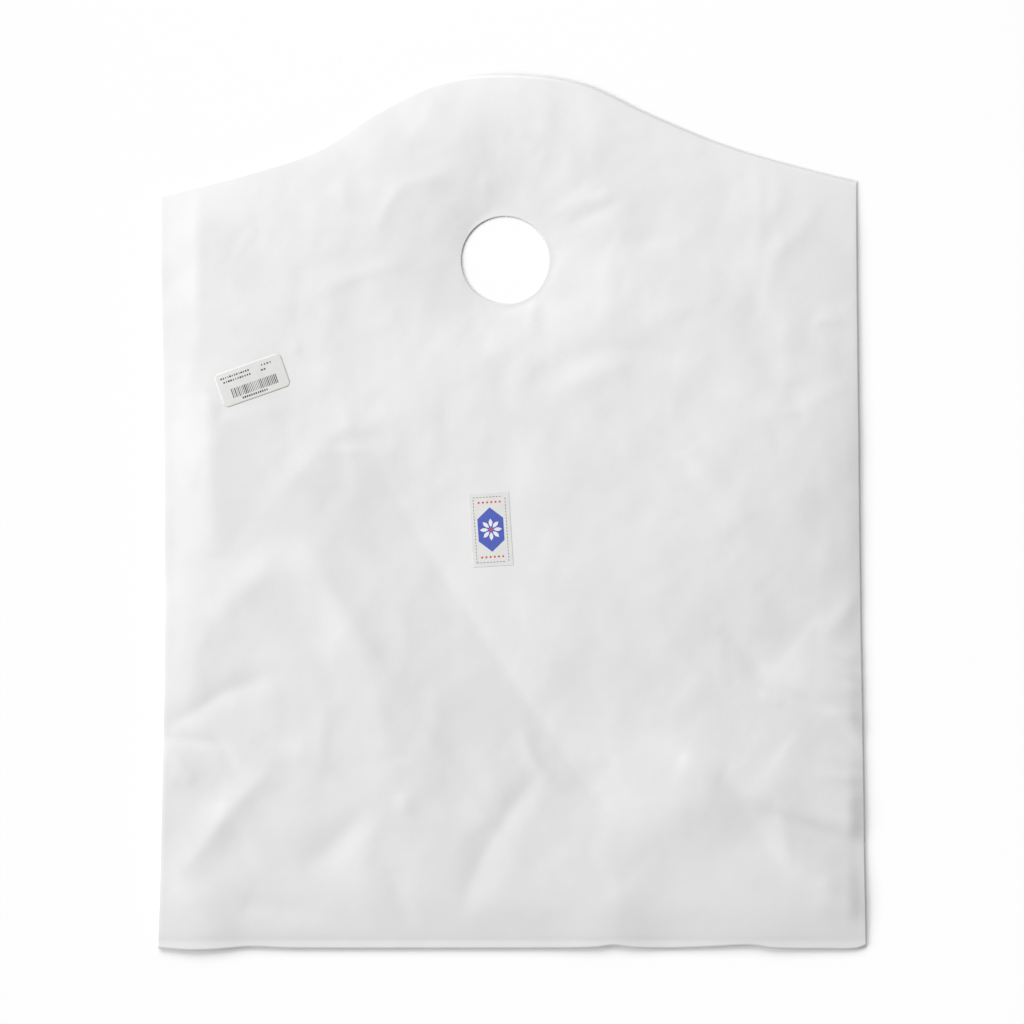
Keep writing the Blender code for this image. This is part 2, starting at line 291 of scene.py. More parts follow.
def nearest_on_path(x, y, path):
    """Signed distance to a path, positive on its left, and how far along it, from 0 to 1."""
    best = np.full(x.shape, 1e9)
    side = np.zeros(x.shape)
    along = np.zeros(x.shape)
    count = len(path) - 1
    for k in range(count):
        ax, ay = path[k]
        bx, by = path[k + 1]
        dx, dy = bx - ax, by - ay
        t = np.clip(((x - ax) * dx + (y - ay) * dy) / (dx * dx + dy * dy), 0.0, 1.0)
        away = np.hypot(x - ax - t * dx, y - ay - t * dy)
        closer = away < best
        best = np.where(closer, away, best)
        turn = dx * (y - ay) - dy * (x - ax)
        side = np.where(closer, np.where(turn < 0, -1.0, 1.0), side)
        along = np.where(closer, (k + t) / count, along)
    return best * side, along


# ------------------------------------------------------- shape of the film


def crease(x, y, height, width, sharp, lean, points):
    """Height that one crease adds, along a smooth path that fades out at both ends."""
    path = path_through(points)
    signed, along = nearest_on_path(x, y, path)
    reach = width * (1 - lean * np.sign(signed) * 0.5)
    q = np.abs(signed) / reach
    soft = np.exp(-q * q)
    knife = np.exp(-1.7 * (np.sqrt(q * q + 0.01) - 0.1))
    fade = np.sqrt(np.clip(4 * along * (1 - along), 0.0, 1.0))
    return height * (sharp * knife + (1 - sharp) * soft) * (0.25 + 0.75 * fade)


def step_up(x, y, height, width, carry, points):
    """A one-sided slope that climbs to the left of its foot line and stays up for a while."""
    away, along = nearest_on_path(x, y, path_through(points))
    climb = height * smooth_step(away / width) * np.exp(-(np.maximum(away - width, 0.0) / carry) ** 2)
    return climb * smooth_step(np.minimum(along * 2.0, (1 - along) * 4 + 0.5))


def swell(x, y, height, half_length, half_width, turn, centre):
    dx, dy = x - centre[0], y - centre[1]
    c, s = math.cos(turn), math.sin(turn)
    along, across = (dx * c + dy * s) / half_length, (dy * c - dx * s) / half_width
    return height * np.exp(-along ** 2 - across ** 2)


def trough(x, y, depth, width, carry, bow, start, end):
    """A long hollow: it falls steadily from its left side to its foot line, which it follows
    from start to end, and comes back up slowly on its right."""
    run_x, run_y = end[0] - start[0], end[1] - start[1]
    length = math.hypot(run_x, run_y)
    along = ((x - start[0]) * run_x + (y - start[1]) * run_y) / length ** 2
    away = (run_x * (y - start[1]) - run_y * (x - start[0])) / length
    away = away - bow * 4 * np.clip(along, 0, 1) * (1 - np.clip(along, 0, 1))
    t = np.clip(away / width, 0.0, 1.0)
    left = 1 - 0.9 * t - 0.1 * smooth_step(t)
    right = np.exp(np.minimum(away, 0.0) / (carry * (1 - 0.5 * np.clip(along, 0, 1))))
    fade = smooth_step(np.minimum(along * 5, (1 - along) * 4))
    return -depth * np.where(away > 0, left, right) * fade


def label_calm(x, y):
    """1 under a label and 0 away from it: the label's paper holds the film smooth."""
    calm = np.zeros(x.shape)
    for label in (PRICE, EMBLEM):
        u, v = to_label(label, x, y)
        out_u = np.abs(u) - label["size"][0] / 2
        out_v = np.abs(v) - label["size"][1] / 2
        out = np.maximum(np.maximum(out_u, out_v), 0.0)
        calm = np.maximum(calm, np.exp(-(out / 5.0) ** 2))
    return calm


def to_label(label, x, y):
    """Place on the bag turned into the label's own across and along."""
    dx, dy = x - label["centre"][0], y - label["centre"][1]
    c, s = math.cos(label["turn"]), math.sin(label["turn"])
    return dx * c + dy * s, dy * c - dx * s


def from_label(label, u, v):
    c, s = math.cos(label["turn"]), math.sin(label["turn"])
    return label["centre"][0] + u * c - v * s, label["centre"][1] + u * s + v * c


def crinkles(x, y):
    """Fine soft crinkles all over, stronger round the hole and in scattered patches."""
    wx = x + 6 * soft_noise(x, y, 30, 11)
    wy = y + 6 * soft_noise(x, y, 30, 12)
    broad = (0.3 * soft_noise(wx, wy, 62, 1, 1.3) + 0.20 * ridge_noise(wx, wy, 50, 2, 1.6)
             - 0.18 * ridge_noise(wx, wy, 38, 9, 1.8))
    middling = 0.13 * ridge_noise(wx, wy, 30, 3, 1.6) + 0.10 * soft_noise(wx, wy, 15, 6, 1.8)
    small = 0.035 * ridge_noise(wx, wy, 13, 4, 1.4) + 0.03 * soft_noise(wx, wy, 7, 8)
    where = 0.5 + 0.5 * np.clip(1.5 * soft_noise(x, y, 80, 5), -1, 1)
    round_hole = np.exp(-((np.hypot(x - HOLE[0], y - HOLE[1]) - 30) / 35) ** 2)
    return broad + (middling + small) * (0.5 + 0.8 * where + 0.8 * round_hole)


def puckers(x, y):
    """Short gathers that run in from the right fold."""
    total = np.zeros(x.shape)
    for k, centre in enumerate(PUCKERS):
        reach = 13 + 4 * math.sin(2.4 * k)
        drift = (198 - x) * (0.25 + 0.2 * math.sin(1.7 * k))
        across = np.exp(-((y - centre - drift) / 2.6) ** 2)
        total += 0.65 * across * np.exp(-((198 - x) / reach) ** 2)
    return total


def mouth_edge(x):
    return curve_through(MOUTH_WAVE, x)


def back_height(x, y):
    """Height of the outside of the back ply: on the table, but for the lifted hem."""
    hem = curve_through(HEM_LIFT, x)
    up = y - BOTTOM
    lifted = hem * (HEM_SHARE + (1 - HEM_SHARE) * smooth_step(up / HEM_EDGE))
    lifted = lifted * (1 - smooth_step((up - HEM_FLAT) / HEM_FALL))
    slack = 0.2 * (1 + np.clip(soft_noise(x, y, 45, 21), -1, 1))
    return lifted + slack * smooth_step((y - WELD_TOP) / 30)


def gap_height(x, y):
    """Height of the outside of the front ply above the back ply's outside."""
    from_left, from_right = np.maximum(200 + x, 0.0), np.maximum(200 - x, 0.0)
    left = curve_through(LEFT_FOLD_GAP, y)
    left = left + curve_through(LEFT_SHOULDER, y) * np.tanh((from_left / SHOULDER_REACH) ** 1.2)
    right = RIGHT_FOLD_GAP + curve_through(RIGHT_SHOULDER, y) * np.tanh(from_right / SHOULDER_REACH)
    full = left + (right - left) * smooth_step(from_left / 400)
    full = full + MIDDLE_RISE * np.cos(math.pi * x / 400) ** 2
    relief = crinkles(x, y) + puckers(x, y)
    for height, width, sharp, lean, points in ALL_CREASES:
        relief = relief + crease(x, y, height, width, sharp, lean, points)
    relief = relief * (1 - 0.9 * label_calm(x, y)) + trough(x, y, **TROUGH)
    for height, width, carry, points in STEPS:
        relief = relief + step_up(x, y, height, width, carry, points)
    for height, half_length, half_width, turn, centre in SWELLS:
        relief = relief + swell(x, y, height, half_length, half_width, math.radians(turn), centre)
    from_weld = np.maximum(y - WELD_TOP, 0.0)
    relief = relief * smooth_step(from_weld / RELIEF_REACH) * smooth_step(FOLD_SHARE + from_right / FOLD_CALM)
    full = full + relief
    full = 0.5 + np.logaddexp(0.0, (full - 0.5) * 2.0) / 2.0
    to_mouth = (mouth_edge(x) - y) / MOUTH_REACH
    share = curve_through(MOUTH_SHARE, x)
    full = full * (share + (1 - share) * ease(to_mouth))
    to_rim = np.hypot(x - HOLE[0], y - HOLE[1]) - HOLE_RADIUS
    full = full - HOLLOW_DEPTH * np.exp(-(to_rim / HOLLOW_REACH) ** 2)
    full = full - RIM_DIP * np.exp(-np.maximum(to_rim, 0.0) / RIM_REACH)
    full = np.maximum(full, 0.45)
    rise = QUICK_RISE * (1 - np.exp(-from_weld / QUICK_REACH))
    rise = rise + (1 - QUICK_RISE) * ease(from_weld / SLOW_REACH)
    skirt = WELD_GAP + 0.35 * smooth_step((WELD_LOW - y) / 4)
    return np.where(y < WELD_TOP, skirt, WELD_GAP + (full - WELD_GAP) * rise)


def front_height(x, y):
    return back_height(x, y) + gap_height(x, y)


# ------------------------------------------------------- the film as a mesh


def row_heights():
    """Row heights from the cut bottom to the mouth, before the edges take their waves."""
    hem = [BOTTOM, BOTTOM + 1.5, BOTTOM + 3.1, WELD_LOW, (WELD_LOW + WELD_TOP) / 2, WELD_TOP,
           WELD_TOP + 1.0, WELD_TOP + 2.4, WELD_TOP + 4.2]
    count = 2 * round((MOUTH_DATUM - hem[-1]) / FINE_CELL / 2)
    rows = hem + list(np.linspace(hem[-1], MOUTH_DATUM, count + 1)[1:])
    return np.array(rows)


def place_rows(x, row):
    """Where a row lies at x, once the mouth and the bottom edge have taken their waves."""
    up = smooth_step(row / MOUTH_DATUM) * (mouth_edge(x) - MOUTH_DATUM)
    down = smooth_step((BOTTOM + 50 - row) / 50) * curve_through(BOTTOM_EDGE, x)
    return row + up + down


class FilmMesh:
    """Vertices and faces of the film's outside, gathered before they become a mesh."""

    def __init__(self):
        self.points = []
        self.faces = []
        self.count = 0

    def add(self, x, y, z):
        """Adds points and returns their numbers, in the same arrangement."""
        x, y, z = np.broadcast_arrays(x, y, z)
        self.points.append(np.column_stack([x.ravel(), y.ravel(), z.ravel()]))
        numbers = np.arange(self.count, self.count + x.size).reshape(x.shape)
        self.count += x.size
        return numbers

    def quads(self, a, b, c, d):
        self.faces += np.column_stack([a.ravel(), b.ravel(), c.ravel(), d.ravel()]).tolist()

    def sheet(self, numbers, keep):
        """Quads over a grid, numbered [row, column], where keep[row, column] of the cell is true."""
        a, b = numbers[:-1, :-1][keep], numbers[:-1, 1:][keep]
        c, d = numbers[1:, 1:][keep], numbers[1:, :-1][keep]
        self.quads(a, b, c, d)

    def build(self, name):
        mesh = bpy.data.meshes.new(name)
        mesh.from_pydata((np.concatenate(self.points) * MM).tolist(), [], self.faces)
        mesh.validate()
        return mesh


def fold_edges(row):
    """Outer edge of the left and the right fold, and the arc reach, at each row."""
    left = curve_through(LEFT_EDGE, row)
    right = curve_through(RIGHT_EDGE, row)
    reach = 0.3 + (FOLD_REACH - 0.3) * ease((row - WELD_TOP) / 40)
    return left, right, reach


def hole_block(x, y):
    """First and last column and row of a square of cells round the hole."""
    half = 1.85 * HOLE_RADIUS
    row = int(np.argmin(np.abs(y[:, len(x[0]) // 2] - HOLE[1])))
    column = int(np.argmin(np.abs(x[row] - HOLE[0])))
    cell_x = x[row, column + 1] - x[row, column]
    cell_y = y[row + 1, column] - y[row, column]
    across, along = round(half / cell_x), round(half / cell_y)
    return column - across, column + across, row - along, row + along


def round_hole(film, numbers, block, height):
    """Rings of cells from the punched rim out to the square of cells round it."""
    c0, c1, r0, r1 = block
    border = [(r0, c) for c in range(c0, c1)] + [(r, c1) for r in range(r0, r1)]
    border += [(r1, c) for c in range(c1, c0, -1)] + [(r, c0) for r in range(r1, r0, -1)]
    outer = np.array([numbers[key] for key in border])
    points = np.concatenate(film.points)[outer]
    away = points[:, :2] - HOLE
    angle = np.arctan2(away[:, 1], away[:, 0])
    reach = np.hypot(away[:, 0], away[:, 1])
    inner = None
    for share in RING_SHARES:
        if share == 1.0:
            ring = outer
        else:
            radius = HOLE_RADIUS + (reach - HOLE_RADIUS) * share
            x, y = HOLE[0] + radius * np.cos(angle), HOLE[1] + radius * np.sin(angle)
            ring = film.add(x, y, height(x, y))
        if inner is not None:
            a, b, c, d = inner, ring, np.roll(ring, -1), np.roll(inner, -1)
            film.quads(a, b, c, d)
        inner = ring


def make_film():
    """The whole bag of film: front ply and folds in fine cells, back ply in cells twice as large."""
    rows = row_heights()
    left, right, reach = fold_edges(rows)
    columns = round((right[0] - left[0]) / FINE_CELL)
    share = np.linspace(0.0, 1.0, columns + 1)
    x_front = (left + reach)[:, None] + (right - left - 2 * reach)[:, None] * share
    y_front = place_rows(x_front, rows[:, None])
    z_front = front_height(x_front, y_front)
    z_back = back_height(x_front, y_front)

    film = FilmMesh()
    numbers = film.add(x_front, y_front, z_front)
    block = hole_block(x_front, y_front)
    keep = np.ones((len(rows) - 1, columns), bool)
    keep[block[2]:block[3], block[0]:block[1]] = False
    film.sheet(numbers, keep)
    round_hole(film, numbers, block, front_height)

    def fold(column, sign):
        """The soft side fold's arc, from the front ply's edge round to the back ply."""
        angles = np.linspace(math.pi / 2, -math.pi / 2, FOLD_CELLS + 1)[1:]
        x = x_front[:, column][:, None] + sign * reach[:, None] * np.cos(angles)
        middle = (z_front[:, column] + z_back[:, column]) / 2
        half = (z_front[:, column] - z_back[:, column]) / 2
        z = middle[:, None] + half[:, None] * np.sin(angles)
        arc = film.add(x, np.repeat(y_front[:, column][:, None], FOLD_CELLS, axis=1), z)
        arc = np.column_stack([numbers[:, column], arc])
        ordered = arc if sign > 0 else arc[:, ::-1]
        film.sheet(ordered, np.ones((len(rows) - 1, FOLD_CELLS), bool))
        return arc[:, -1]

    seam_left = fold(0, -1)
    seam_right = fold(columns, 1)

    coarse = rows[::2]
    back_columns = columns // 2
    share = np.linspace(0.0, 1.0, back_columns + 1)[1:-1]
    left_c, right_c, reach_c = fold_edges(coarse)
    x_back = (right_c - reach_c)[:, None] - (right_c - left_c - 2 * reach_c)[:, None] * share
    y_back = place_rows(x_back, coarse[:, None])
    back = film.add(x_back, y_back, back_height(x_back, y_back))
    block = hole_block(x_back[:, ::-1], y_back[:, ::-1])
    last = back.shape[1] - 1
    block = (last - block[1], last - block[0], block[2], block[3])
    keep = np.ones((len(coarse) - 1, back_columns - 2), bool)
    keep[block[2]:block[3], block[0]:block[1]] = False
    film.sheet(back, keep)
    round_hole(film, back, block, back_height)
    for k in range(len(coarse) - 1):
        low, mid, high = seam_right[2 * k], seam_right[2 * k + 1], seam_right[2 * k + 2]
        film.faces.append([int(n) for n in (low, back[k, 0], back[k + 1, 0], high, mid)])
        low, mid, high = seam_left[2 * k], seam_left[2 * k + 1], seam_left[2 * k + 2]
        film.faces.append([int(n) for n in (back[k, -1], low, mid, high, back[k + 1, -1])])

    sheet = add_piece("bag_film_sheet", film.build("bag_film_sheet"), FILM_WHITE)
    wall = sheet.modifiers.new("wall", "SOLIDIFY")
    wall.thickness = WALL * MM
    wall.offset = -1.0
    return made_plain(sheet)


# ------------------------------------------------------------ small helpers


def add_piece(name, mesh, material):
    """An object at the origin with one material, shaded smooth."""
    mesh.materials.clear()
    mesh.materials.append(material)
    mesh.shade_smooth()
    obj = bpy.data.objects.new(name, mesh)
    bpy.context.scene.collection.objects.link(obj)
    return obj


def made_plain(obj):
    """Applies every modifier and leaves a plain mesh."""
    bpy.context.view_layer.update()
    graph = bpy.context.evaluated_depsgraph_get()
    mesh = bpy.data.meshes.new_from_object(obj.evaluated_get(graph), depsgraph=graph)
    obj.modifiers.clear()
    obj.data = mesh
    return obj


def put_on_label(obj, label, lift):
    """Lays a flat piece, drawn round the label's own centre in mm, on the label in its place."""
    mesh = obj.data
    co = np.empty(len(mesh.vertices) * 3)
    mesh.vertices.foreach_get("co", co)
    co = co.reshape(-1, 3)
    x, y = from_label(label, co[:, 0], co[:, 1])
    z = front_height(x, y) + lift + co[:, 2]
    mesh.vertices.foreach_set("co", (np.column_stack([x, y, z]) * MM).ravel())
    mesh.update()
    return obj


# ---------------------------------------------------------------- materials


def start_material(name):
    material = bpy.data.materials.new(name)
    material.use_nodes = True
    tree = material.node_tree
    shader = tree.nodes["Principled BSDF"]
    place = tree.nodes.new("ShaderNodeTexCoord")
    return material, tree, shader, place.outputs["Object"]


def noise_node(tree, place, size_mm, detail=2.0, stretch=(1, 1, 1)):
    """Soft noise with bumps of about that size, on the piece's own place."""
    turn = tree.nodes.new("ShaderNodeMapping")
    turn.inputs["Scale"].default_value = [s / (size_mm * MM) for s in stretch]
    tree.links.new(place, turn.inputs["Vector"])
    noise = tree.nodes.new("ShaderNodeTexNoise")
    noise.inputs["Scale"].default_value = 1.0
    noise.inputs["Detail"].default_value = detail
    tree.links.new(turn.outputs["Vector"], noise.inputs["Vector"])
    return noise.outputs["Fac"]


def blend_colours(tree, factor, low, high):
    ramp = tree.nodes.new("ShaderNodeValToRGB")
    ramp.color_ramp.elements[0].position = 0.3
    ramp.color_ramp.elements[1].position = 0.7
    ramp.color_ramp.elements[0].color = (*low, 1)
    ramp.color_ramp.elements[1].color = (*high, 1)
    tree.links.new(factor, ramp.inputs["Fac"])
    return ramp.outputs["Color"]


def rise_and_fall(tree, factor, low, high):
    span = tree.nodes.new("ShaderNodeMapRange")
    span.inputs["To Min"].default_value = low
    span.inputs["To Max"].default_value = high
    tree.links.new(factor, span.inputs["Value"])
    return span.outputs["Result"]


def add_bump(tree, shader, height, strength, distance_mm, under=None):
    bump = tree.nodes.new("ShaderNodeBump")
    bump.inputs["Strength"].default_value = strength
    bump.inputs["Distance"].default_value = distance_mm * MM
    tree.links.new(height, bump.inputs["Height"])
    if under is not None:
        tree.links.new(under, bump.inputs["Normal"])
    tree.links.new(bump.outputs["Normal"], shader.inputs["Normal"])
    return bump.outputs["Normal"]


def film_material():
    """Satin white film: faintly cloudy, with drawn streaks and a soft orange-peel surface."""
    material, tree, shader, place = start_material("white_film")
    cloud = noise_node(tree, place, 26, 3.0)
    tree.links.new(blend_colours(tree, cloud, (0.73, 0.73, 0.732), (0.76, 0.76, 0.76)),
                   shader.inputs["Base Color"])
    streak = noise_node(tree, place, 7, 2.0, (1.0, 0.06, 1.0))
    tree.links.new(rise_and_fall(tree, streak, 0.34, 0.48), shader.inputs["Roughness"])
    shader.inputs["IOR"].default_value = 1.5
    peel = add_bump(tree, shader, noise_node(tree, place, 1.6, 2.0), 0.25, 0.05)
    lines = noise_node(tree, place, 24, 2.0)
    lines.node.noise_type = "RIDGED_MULTIFRACTAL"
    crush = add_bump(tree, shader, lines, 0.8, 0.3, under=peel)
    skin = add_bump(tree, shader, noise_node(tree, place, 9, 3.0), 0.3, 0.25, under=crush)
    glow = tree.nodes.new("ShaderNodeBsdfTranslucent")
    glow.inputs["Color"].default_value = (0.95, 0.95, 0.95, 1)
    tree.links.new(skin, glow.inputs["Normal"])
    mix = tree.nodes.new("ShaderNodeMixShader")
    mix.inputs["Fac"].default_value = FILM_SHOW_THROUGH
    tree.links.new(shader.outputs["BSDF"], mix.inputs[1])
    tree.links.new(glow.outputs["BSDF"], mix.inputs[2])
    tree.links.new(mix.outputs["Shader"], tree.nodes["Material Output"].inputs["Surface"])
    return material


def paper_material():
    material, tree, shader, place = start_material("label_paper")
    cloud = noise_node(tree, place, 6, 3.0)
    tree.links.new(blend_colours(tree, cloud, (0.585, 0.585, 0.57), (0.62, 0.62, 0.605)),
                   shader.inputs["Base Color"])
    tree.links.new(rise_and_fall(tree, cloud, 0.42, 0.55), shader.inputs["Roughness"])
    add_bump(tree, shader, noise_node(tree, place, 0.5, 2.0), 0.2, 0.02)
    return material


def ink_material(name, colour, roughness):
    """Printed ink, slightly uneven where the plate pressed harder."""
    material, tree, shader, place = start_material(name)
    cloud = noise_node(tree, place, 1.5, 3.0)
    light = [c * 1.12 + 0.006 for c in colour]
    tree.links.new(blend_colours(tree, cloud, colour, light), shader.inputs["Base Color"])
    tree.links.new(rise_and_fall(tree, cloud, roughness - 0.06, roughness + 0.06), shader.inputs["Roughness"])
    return material


def floor_material():
    """White sweep, a little paler away from the key light, so that it reads as even white."""
    material, tree, shader, place = start_material("studio_white")
    turn = tree.nodes.new("ShaderNodeMapping")
    turn.inputs["Rotation"].default_value = (0.0, 0.0, math.radians(51))
    turn.inputs["Scale"].default_value = (1.25, 1.25, 1.25)
    turn.inputs["Location"].default_value = (0.5, 0.0, 0.0)
    tree.links.new(place, turn.inputs["Vector"])
    fall = tree.nodes.new("ShaderNodeTexGradient")
    tree.links.new(turn.outputs["Vector"], fall.inputs["Vector"])
    ramp = tree.nodes.new("ShaderNodeValToRGB")
    ramp.color_ramp.elements[0].color = (0.722, 0.722, 0.722, 1)
    ramp.color_ramp.elements[1].color = (0.922, 0.922, 0.922, 1)
    tree.links.new(fall.outputs["Fac"], ramp.inputs["Fac"])
    tree.links.new(ramp.outputs["Color"], shader.inputs["Base Color"])
    shader.inputs["Roughness"].default_value = 0.9
    shader.inputs["Specular IOR Level"].default_value = 0.1
    return material


FILM_WHITE = film_material()
PAPER = paper_material()
INK_BLACK = ink_material("ink_black", (0.035, 0.035, 0.04), 0.5)
INK_BLUE = ink_material("ink_blue", (0.055, 0.085, 0.36), 0.45)
INK_NAVY = ink_material("ink_navy", (0.03, 0.045, 0.12), 0.45)
INK_RED = ink_material("ink_red", (0.50, 0.045, 0.05), 0.45)
INK_WHITE = ink_material("ink_white", (0.62, 0.62, 0.64), 0.45)

# ------------------------------------------------------------------- labels


def label_sheet(name, label, lift):
    """A thin label with rounded corners that follows the film under it."""
    half_u, half_v = label["size"][0] / 2, label["size"][1] / 2
    corner = label["corner"]

    def stations(half):
        inner = np.linspace(-(half - corner), half - corner, max(2, round(2 * (half - corner) / 1.2)) + 1)
        edge = half - corner + corner * np.linspace(0, 1, 5)[1:]
        return np.concatenate([-edge[::-1], inner, edge])

    u, v = np.meshgrid(stations(half_u), stations(half_v))
    a = np.clip((np.abs(u) - (half_u - corner)) / corner, 0, 1)
    b = np.clip((np.abs(v) - (half_v - corner)) / corner, 0, 1)
    u = np.where(a > 0, np.sign(u) * (half_u - corner + corner * a * np.sqrt(1 - b * b / 2)), u)
    v = np.where(b > 0, np.sign(v) * (half_v - corner + corner * b * np.sqrt(1 - a * a / 2)), v)
    film = FilmMesh()
    numbers = film.add(u, v, np.zeros_like(u))
    film.sheet(numbers, np.ones((u.shape[0] - 1, u.shape[1] - 1), bool))
    mesh = film.build(name)
    mesh.transform(scale_matrix(1 / MM))
    obj = put_on_label(add_piece(name, mesh, PAPER), label, lift + LABEL_THICKNESS)
    wall = obj.modifiers.new("paper", "SOLIDIFY")
    wall.thickness = LABEL_THICKNESS * MM
    wall.offset = -1.0
    return made_plain(obj)


def scale_matrix(factor):
    return Matrix.Scale(factor, 4)


def row_of_marks_tree():
    """Geometry Nodes: a row of upright marks with gaps, each of its own width."""
    tree = bpy.data.node_groups.new("row_of_marks", "GeometryNodeTree")
    face = tree.interface
    face.new_socket("Geometry", in_out="OUTPUT", socket_type="NodeSocketGeometry")
    for name, kind in (("Count", "NodeSocketInt"), ("Step", "NodeSocketFloat"), ("Height", "NodeSocketFloat"),
                       ("Narrowest", "NodeSocketFloat"), ("Widest", "NodeSocketFloat"),
                        ("Seed", "NodeSocketInt"),
                       ("Ink", "NodeSocketMaterial")):
        face.new_socket(name, in_out="INPUT", socket_type=kind)
    given = tree.nodes.new("NodeGroupInput").outputs
    made = tree.nodes.new("NodeGroupOutput").inputs

    line = tree.nodes.new("GeometryNodeMeshLine")
    step = tree.nodes.new("ShaderNodeCombineXYZ")
    tree.links.new(given["Step"], step.inputs["X"])
    tree.links.new(given["Count"], line.inputs["Count"])
    tree.links.new(step.outputs["Vector"], line.inputs["Offset"])

    mark = tree.nodes.new("GeometryNodeMeshGrid")
    mark.inputs["Size X"].default_value = 1.0
    mark.inputs["Vertices X"].default_value = 2
    mark.inputs["Vertices Y"].default_value = 3
    tree.links.new(given["Height"], mark.inputs["Size Y"])

    width = tree.nodes.new("FunctionNodeRandomValue")
    tree.links.new(given["Narrowest"], width.inputs[2])
    tree.links.new(given["Widest"], width.inputs[3])
    tree.links.new(given["Seed"], width.inputs["Seed"])
    scale = tree.nodes.new("ShaderNodeCombineXYZ")
    scale.inputs["Y"].default_value = 1.0
    scale.inputs["Z"].default_value = 1.0
    tree.links.new(width.outputs[1], scale.inputs["X"])

    place = tree.nodes.new("GeometryNodeInstanceOnPoints")
    tree.links.new(line.outputs["Mesh"], place.inputs["Points"])
    tree.links.new(mark.outputs["Mesh"], place.inputs["Instance"])
    tree.links.new(scale.outputs["Vector"], place.inputs["Scale"])
    real = tree.nodes.new("GeometryNodeRealizeInstances")
    tree.links.new(place.outputs["Instances"], real.inputs["Geometry"])
    ink = tree.nodes.new("GeometryNodeSetMaterial")
    tree.links.new(real.outputs["Geometry"], ink.inputs["Geometry"])
    tree.links.new(given["Ink"], ink.inputs["Material"])
    tree.links.new(ink.outputs["Geometry"], made["Geometry"])
    return tree


def row_of_marks(tree, name, ink, start, **sizes):
    """A plain mesh of one row, drawn round the label's centre in mm; start is its left end."""
    obj = add_piece(name, bpy.data.meshes.new(name), ink)
    modifier = obj.modifiers.new("row", "NODES")
    modifier.node_group = tree
    named = {item.name: item.identifier for item in tree.interface.items_tree}
    for key, value in sizes.items():
        modifier[named[key.capitalize()]] = value
    modifier[named["Ink"]] = ink
    made_plain(obj)
    obj.data.transform(Matrix.Translation((start[0], start[1], 0.0)))
    return obj


def flat_shape(name, ink, outlines, cell=0.8):
    """Flat printed shapes, each given by its outline in mm round the label's centre."""
    bm = bmesh.new()
    for outline in outlines:
        bm.faces.new([bm.verts.new((u, v, 0.0)) for u, v in outline])
    bmesh.ops.triangulate(bm, faces=bm.faces)
    for _ in range(4):
        long_edges = [e for e in bm.edges if e.calc_length() > 2 * cell]
        if long_edges:
            bmesh.ops.subdivide_edges(bm, edges=long_edges, cuts=1)
            bmesh.ops.triangulate(bm, faces=bm.faces)
    bmesh.ops.recalc_face_normals(bm, faces=bm.faces)
    for face in bm.faces:
        if face.normal.z < 0:
            face.normal_flip()
    mesh = bpy.data.meshes.new(name)
    bm.to_mesh(mesh)
    bm.free()
    return add_piece(name, mesh, ink)


def print_on(obj, label, layer):
    """Lays print on its label, one thin layer of ink above another."""
    put_on_label(obj, label, LABEL_LIFT + LABEL_THICKNESS + INK_LAYER * layer)
    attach(obj, "root")
    return obj


def ring_of(count, radius, centre=(0.0, 0.0), start=0.0, stretch=1.0):
    return [(centre[0] + radius * math.cos(start + 2 * math.pi * k / count),
             centre[1] + stretch * radius * math.sin(start + 2 * math.pi * k / count)) for k in range(count)]


def price_print(tree):
    """A plain bar code with rows of small marks above and below, none of them letters."""
    rows = (
        ("price_bars", (-13.0, -3.4), 28, 0.98, 5.4, 0.2, 0.62, 4),
        ("price_marks_top", (-16.5, 6.3), 13, 1.35, 1.0, 0.4, 1.1, 7),
        ("price_marks_top_right", (8.0, 6.5), 4, 1.7, 0.9, 0.4, 1.2, 2),
        ("price_marks_second", (-15.5, 3.9), 12, 1.4, 1.0, 0.5, 1.2, 9),
        ("price_marks_second_right", (7.2, 3.8), 2, 1.6, 0.9, 0.6, 1.2, 3),
        ("price_marks_low", (-8.0, -7.6), 12, 1.3, 1.1, 0.5, 1.0, 5),
    )
    for name, start, count, step, height, narrowest, widest, seed in rows:
        obj = row_of_marks(tree, name, INK_BLACK, start, count=count, step=step, height=height,
                           narrowest=narrowest, widest=widest, seed=seed)
        print_on(obj, PRICE, 1)


def upright_box(u, v, width, height):
    """A box's outline from its lower left corner."""
    return [(u, v), (u + width, v), (u + width, v + height), (u, v + height)]


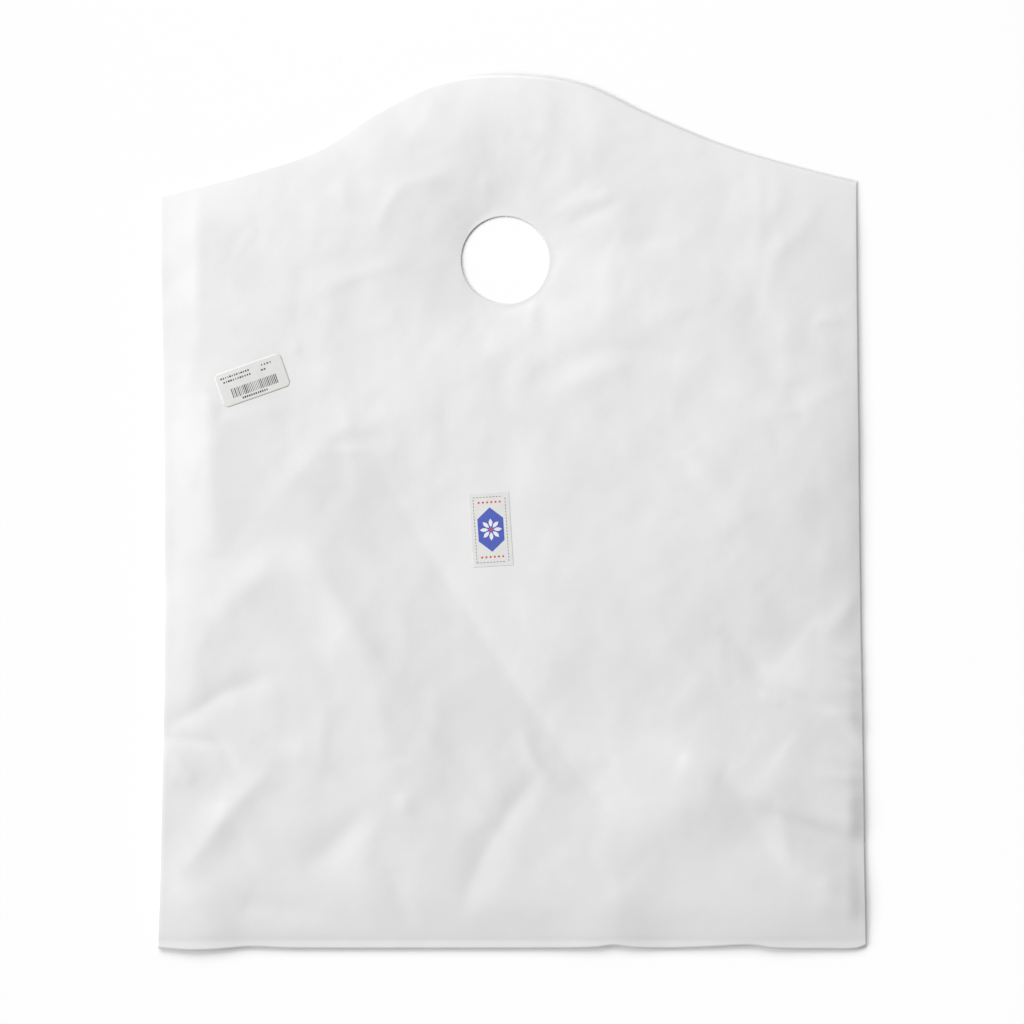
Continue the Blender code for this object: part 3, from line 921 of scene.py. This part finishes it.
def emblem_print():
    """A made-up pattern: a blue six-sided field with a white rosette, red dots and a dashed border."""
    pieces = []
    field = ring_of(6, 10.4, start=math.pi / 2, stretch=1.0)
    field = [(u * 0.82, v * 1.22) for u, v in field]
    pieces.append((flat_shape("emblem_field", INK_BLUE, [field]), 1))
    petals = []
    for k in range(8):
        turn = 2 * math.pi * k / 8
        c, s = math.cos(turn), math.sin(turn)
        leaf = [(1.4, 0.0), (3.0, 0.95), (4.6, 1.05), (6.3, 0.0), (4.6, -1.05), (3.0, -0.95)]
        petals.append([(a * c - b * s, a * s + b * c) for a, b in leaf])
    pieces.append((flat_shape("emblem_rosette", INK_WHITE, petals), 2))
    pieces.append((flat_shape("emblem_heart_dot", INK_RED, [ring_of(16, 0.95)]), 2))
    dots = [ring_of(12, 0.62, centre=(-6.0 + 2.4 * k, side * 15.6)) for side in (1, -1) for k in range(6)]
    pieces.append((flat_shape("emblem_dots", INK_RED, dots), 1))
    dashes = []
    half_u, half_v, dash, gap, thick = 9.1, 18.6, 1.1, 0.75, 0.3
    for side in (1, -1):
        for k in range(int(2 * half_u / (dash + gap))):
            u = -half_u + k * (dash + gap)
            dashes.append(upright_box(u, side * half_v - thick / 2, dash, thick))
        for k in range(int(2 * half_v / (dash + gap))):
            v = -half_v + k * (dash + gap)
            dashes.append(upright_box(side * half_u - thick / 2, v, thick, dash))
    pieces.append((flat_shape("emblem_border", INK_NAVY, dashes), 1))
    for obj, layer in pieces:
        print_on(obj, EMBLEM, layer)


def main():
    bag = make_film()
    bag.name = "bag_film_skin"
    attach(bag, "root")
    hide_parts("bag_film")
    price = label_sheet("price_label_sheet", PRICE, LABEL_LIFT)
    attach(price, "root")
    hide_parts("price_label")
    emblem = label_sheet("emblem_label_sheet", EMBLEM, LABEL_LIFT)
    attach(emblem, "root")
    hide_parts("emblem_label")
    marks = row_of_marks_tree()
    price_print(marks)
    emblem_print()

    floor_mesh = bpy.data.meshes.new("studio_floor")
    size = 3.0
    corners = [(-size, -size, 0), (size, -size, 0), (size, size, 0), (-size, size, 0)]
    floor_mesh.from_pydata(corners, [], [(0, 1, 2, 3)])
    floor = bpy.data.objects.new("studio_floor", floor_mesh)
    floor_mesh.materials.append(floor_material())
    bpy.context.scene.collection.objects.link(floor)

    camera_data = bpy.data.cameras.new("camera")
    camera_data.sensor_width = 36.0
    camera_data.lens = 36.0 * 1.6 / 0.5851
    camera = bpy.data.objects.new("camera", camera_data)
    camera.location = (0.0, 0.0, 1.6)
    bpy.context.scene.collection.objects.link(camera)
    bpy.context.scene.camera = camera

    def area_light(name, place, size, power):
        data = bpy.data.lights.new(name, "AREA")
        data.shape = "SQUARE"
        data.size = size
        data.energy = power
        light = bpy.data.objects.new(name, data)
        light.location = place
        light.rotation_euler = (Vector((0, 0, 0)) - Vector(place)).to_track_quat("-Z", "Y").to_euler()
        bpy.context.scene.collection.objects.link(light)

    area_light("key", (-1.07, 2.31, 1.99), 2.2, 100.0)
    area_light("side", (-8.05, -0.5, 4.02), 4.5, 690.0)
    world = bpy.data.worlds.new("studio")
    world.use_nodes = True
    world.node_tree.nodes["Background"].inputs["Color"].default_value = (1, 1, 1, 1)
    world.node_tree.nodes["Background"].inputs["Strength"].default_value = 0.335
    bpy.context.scene.world = world
    bpy.context.scene.view_settings.view_transform = "Standard"
    bpy.context.scene.view_settings.look = "None"


main()
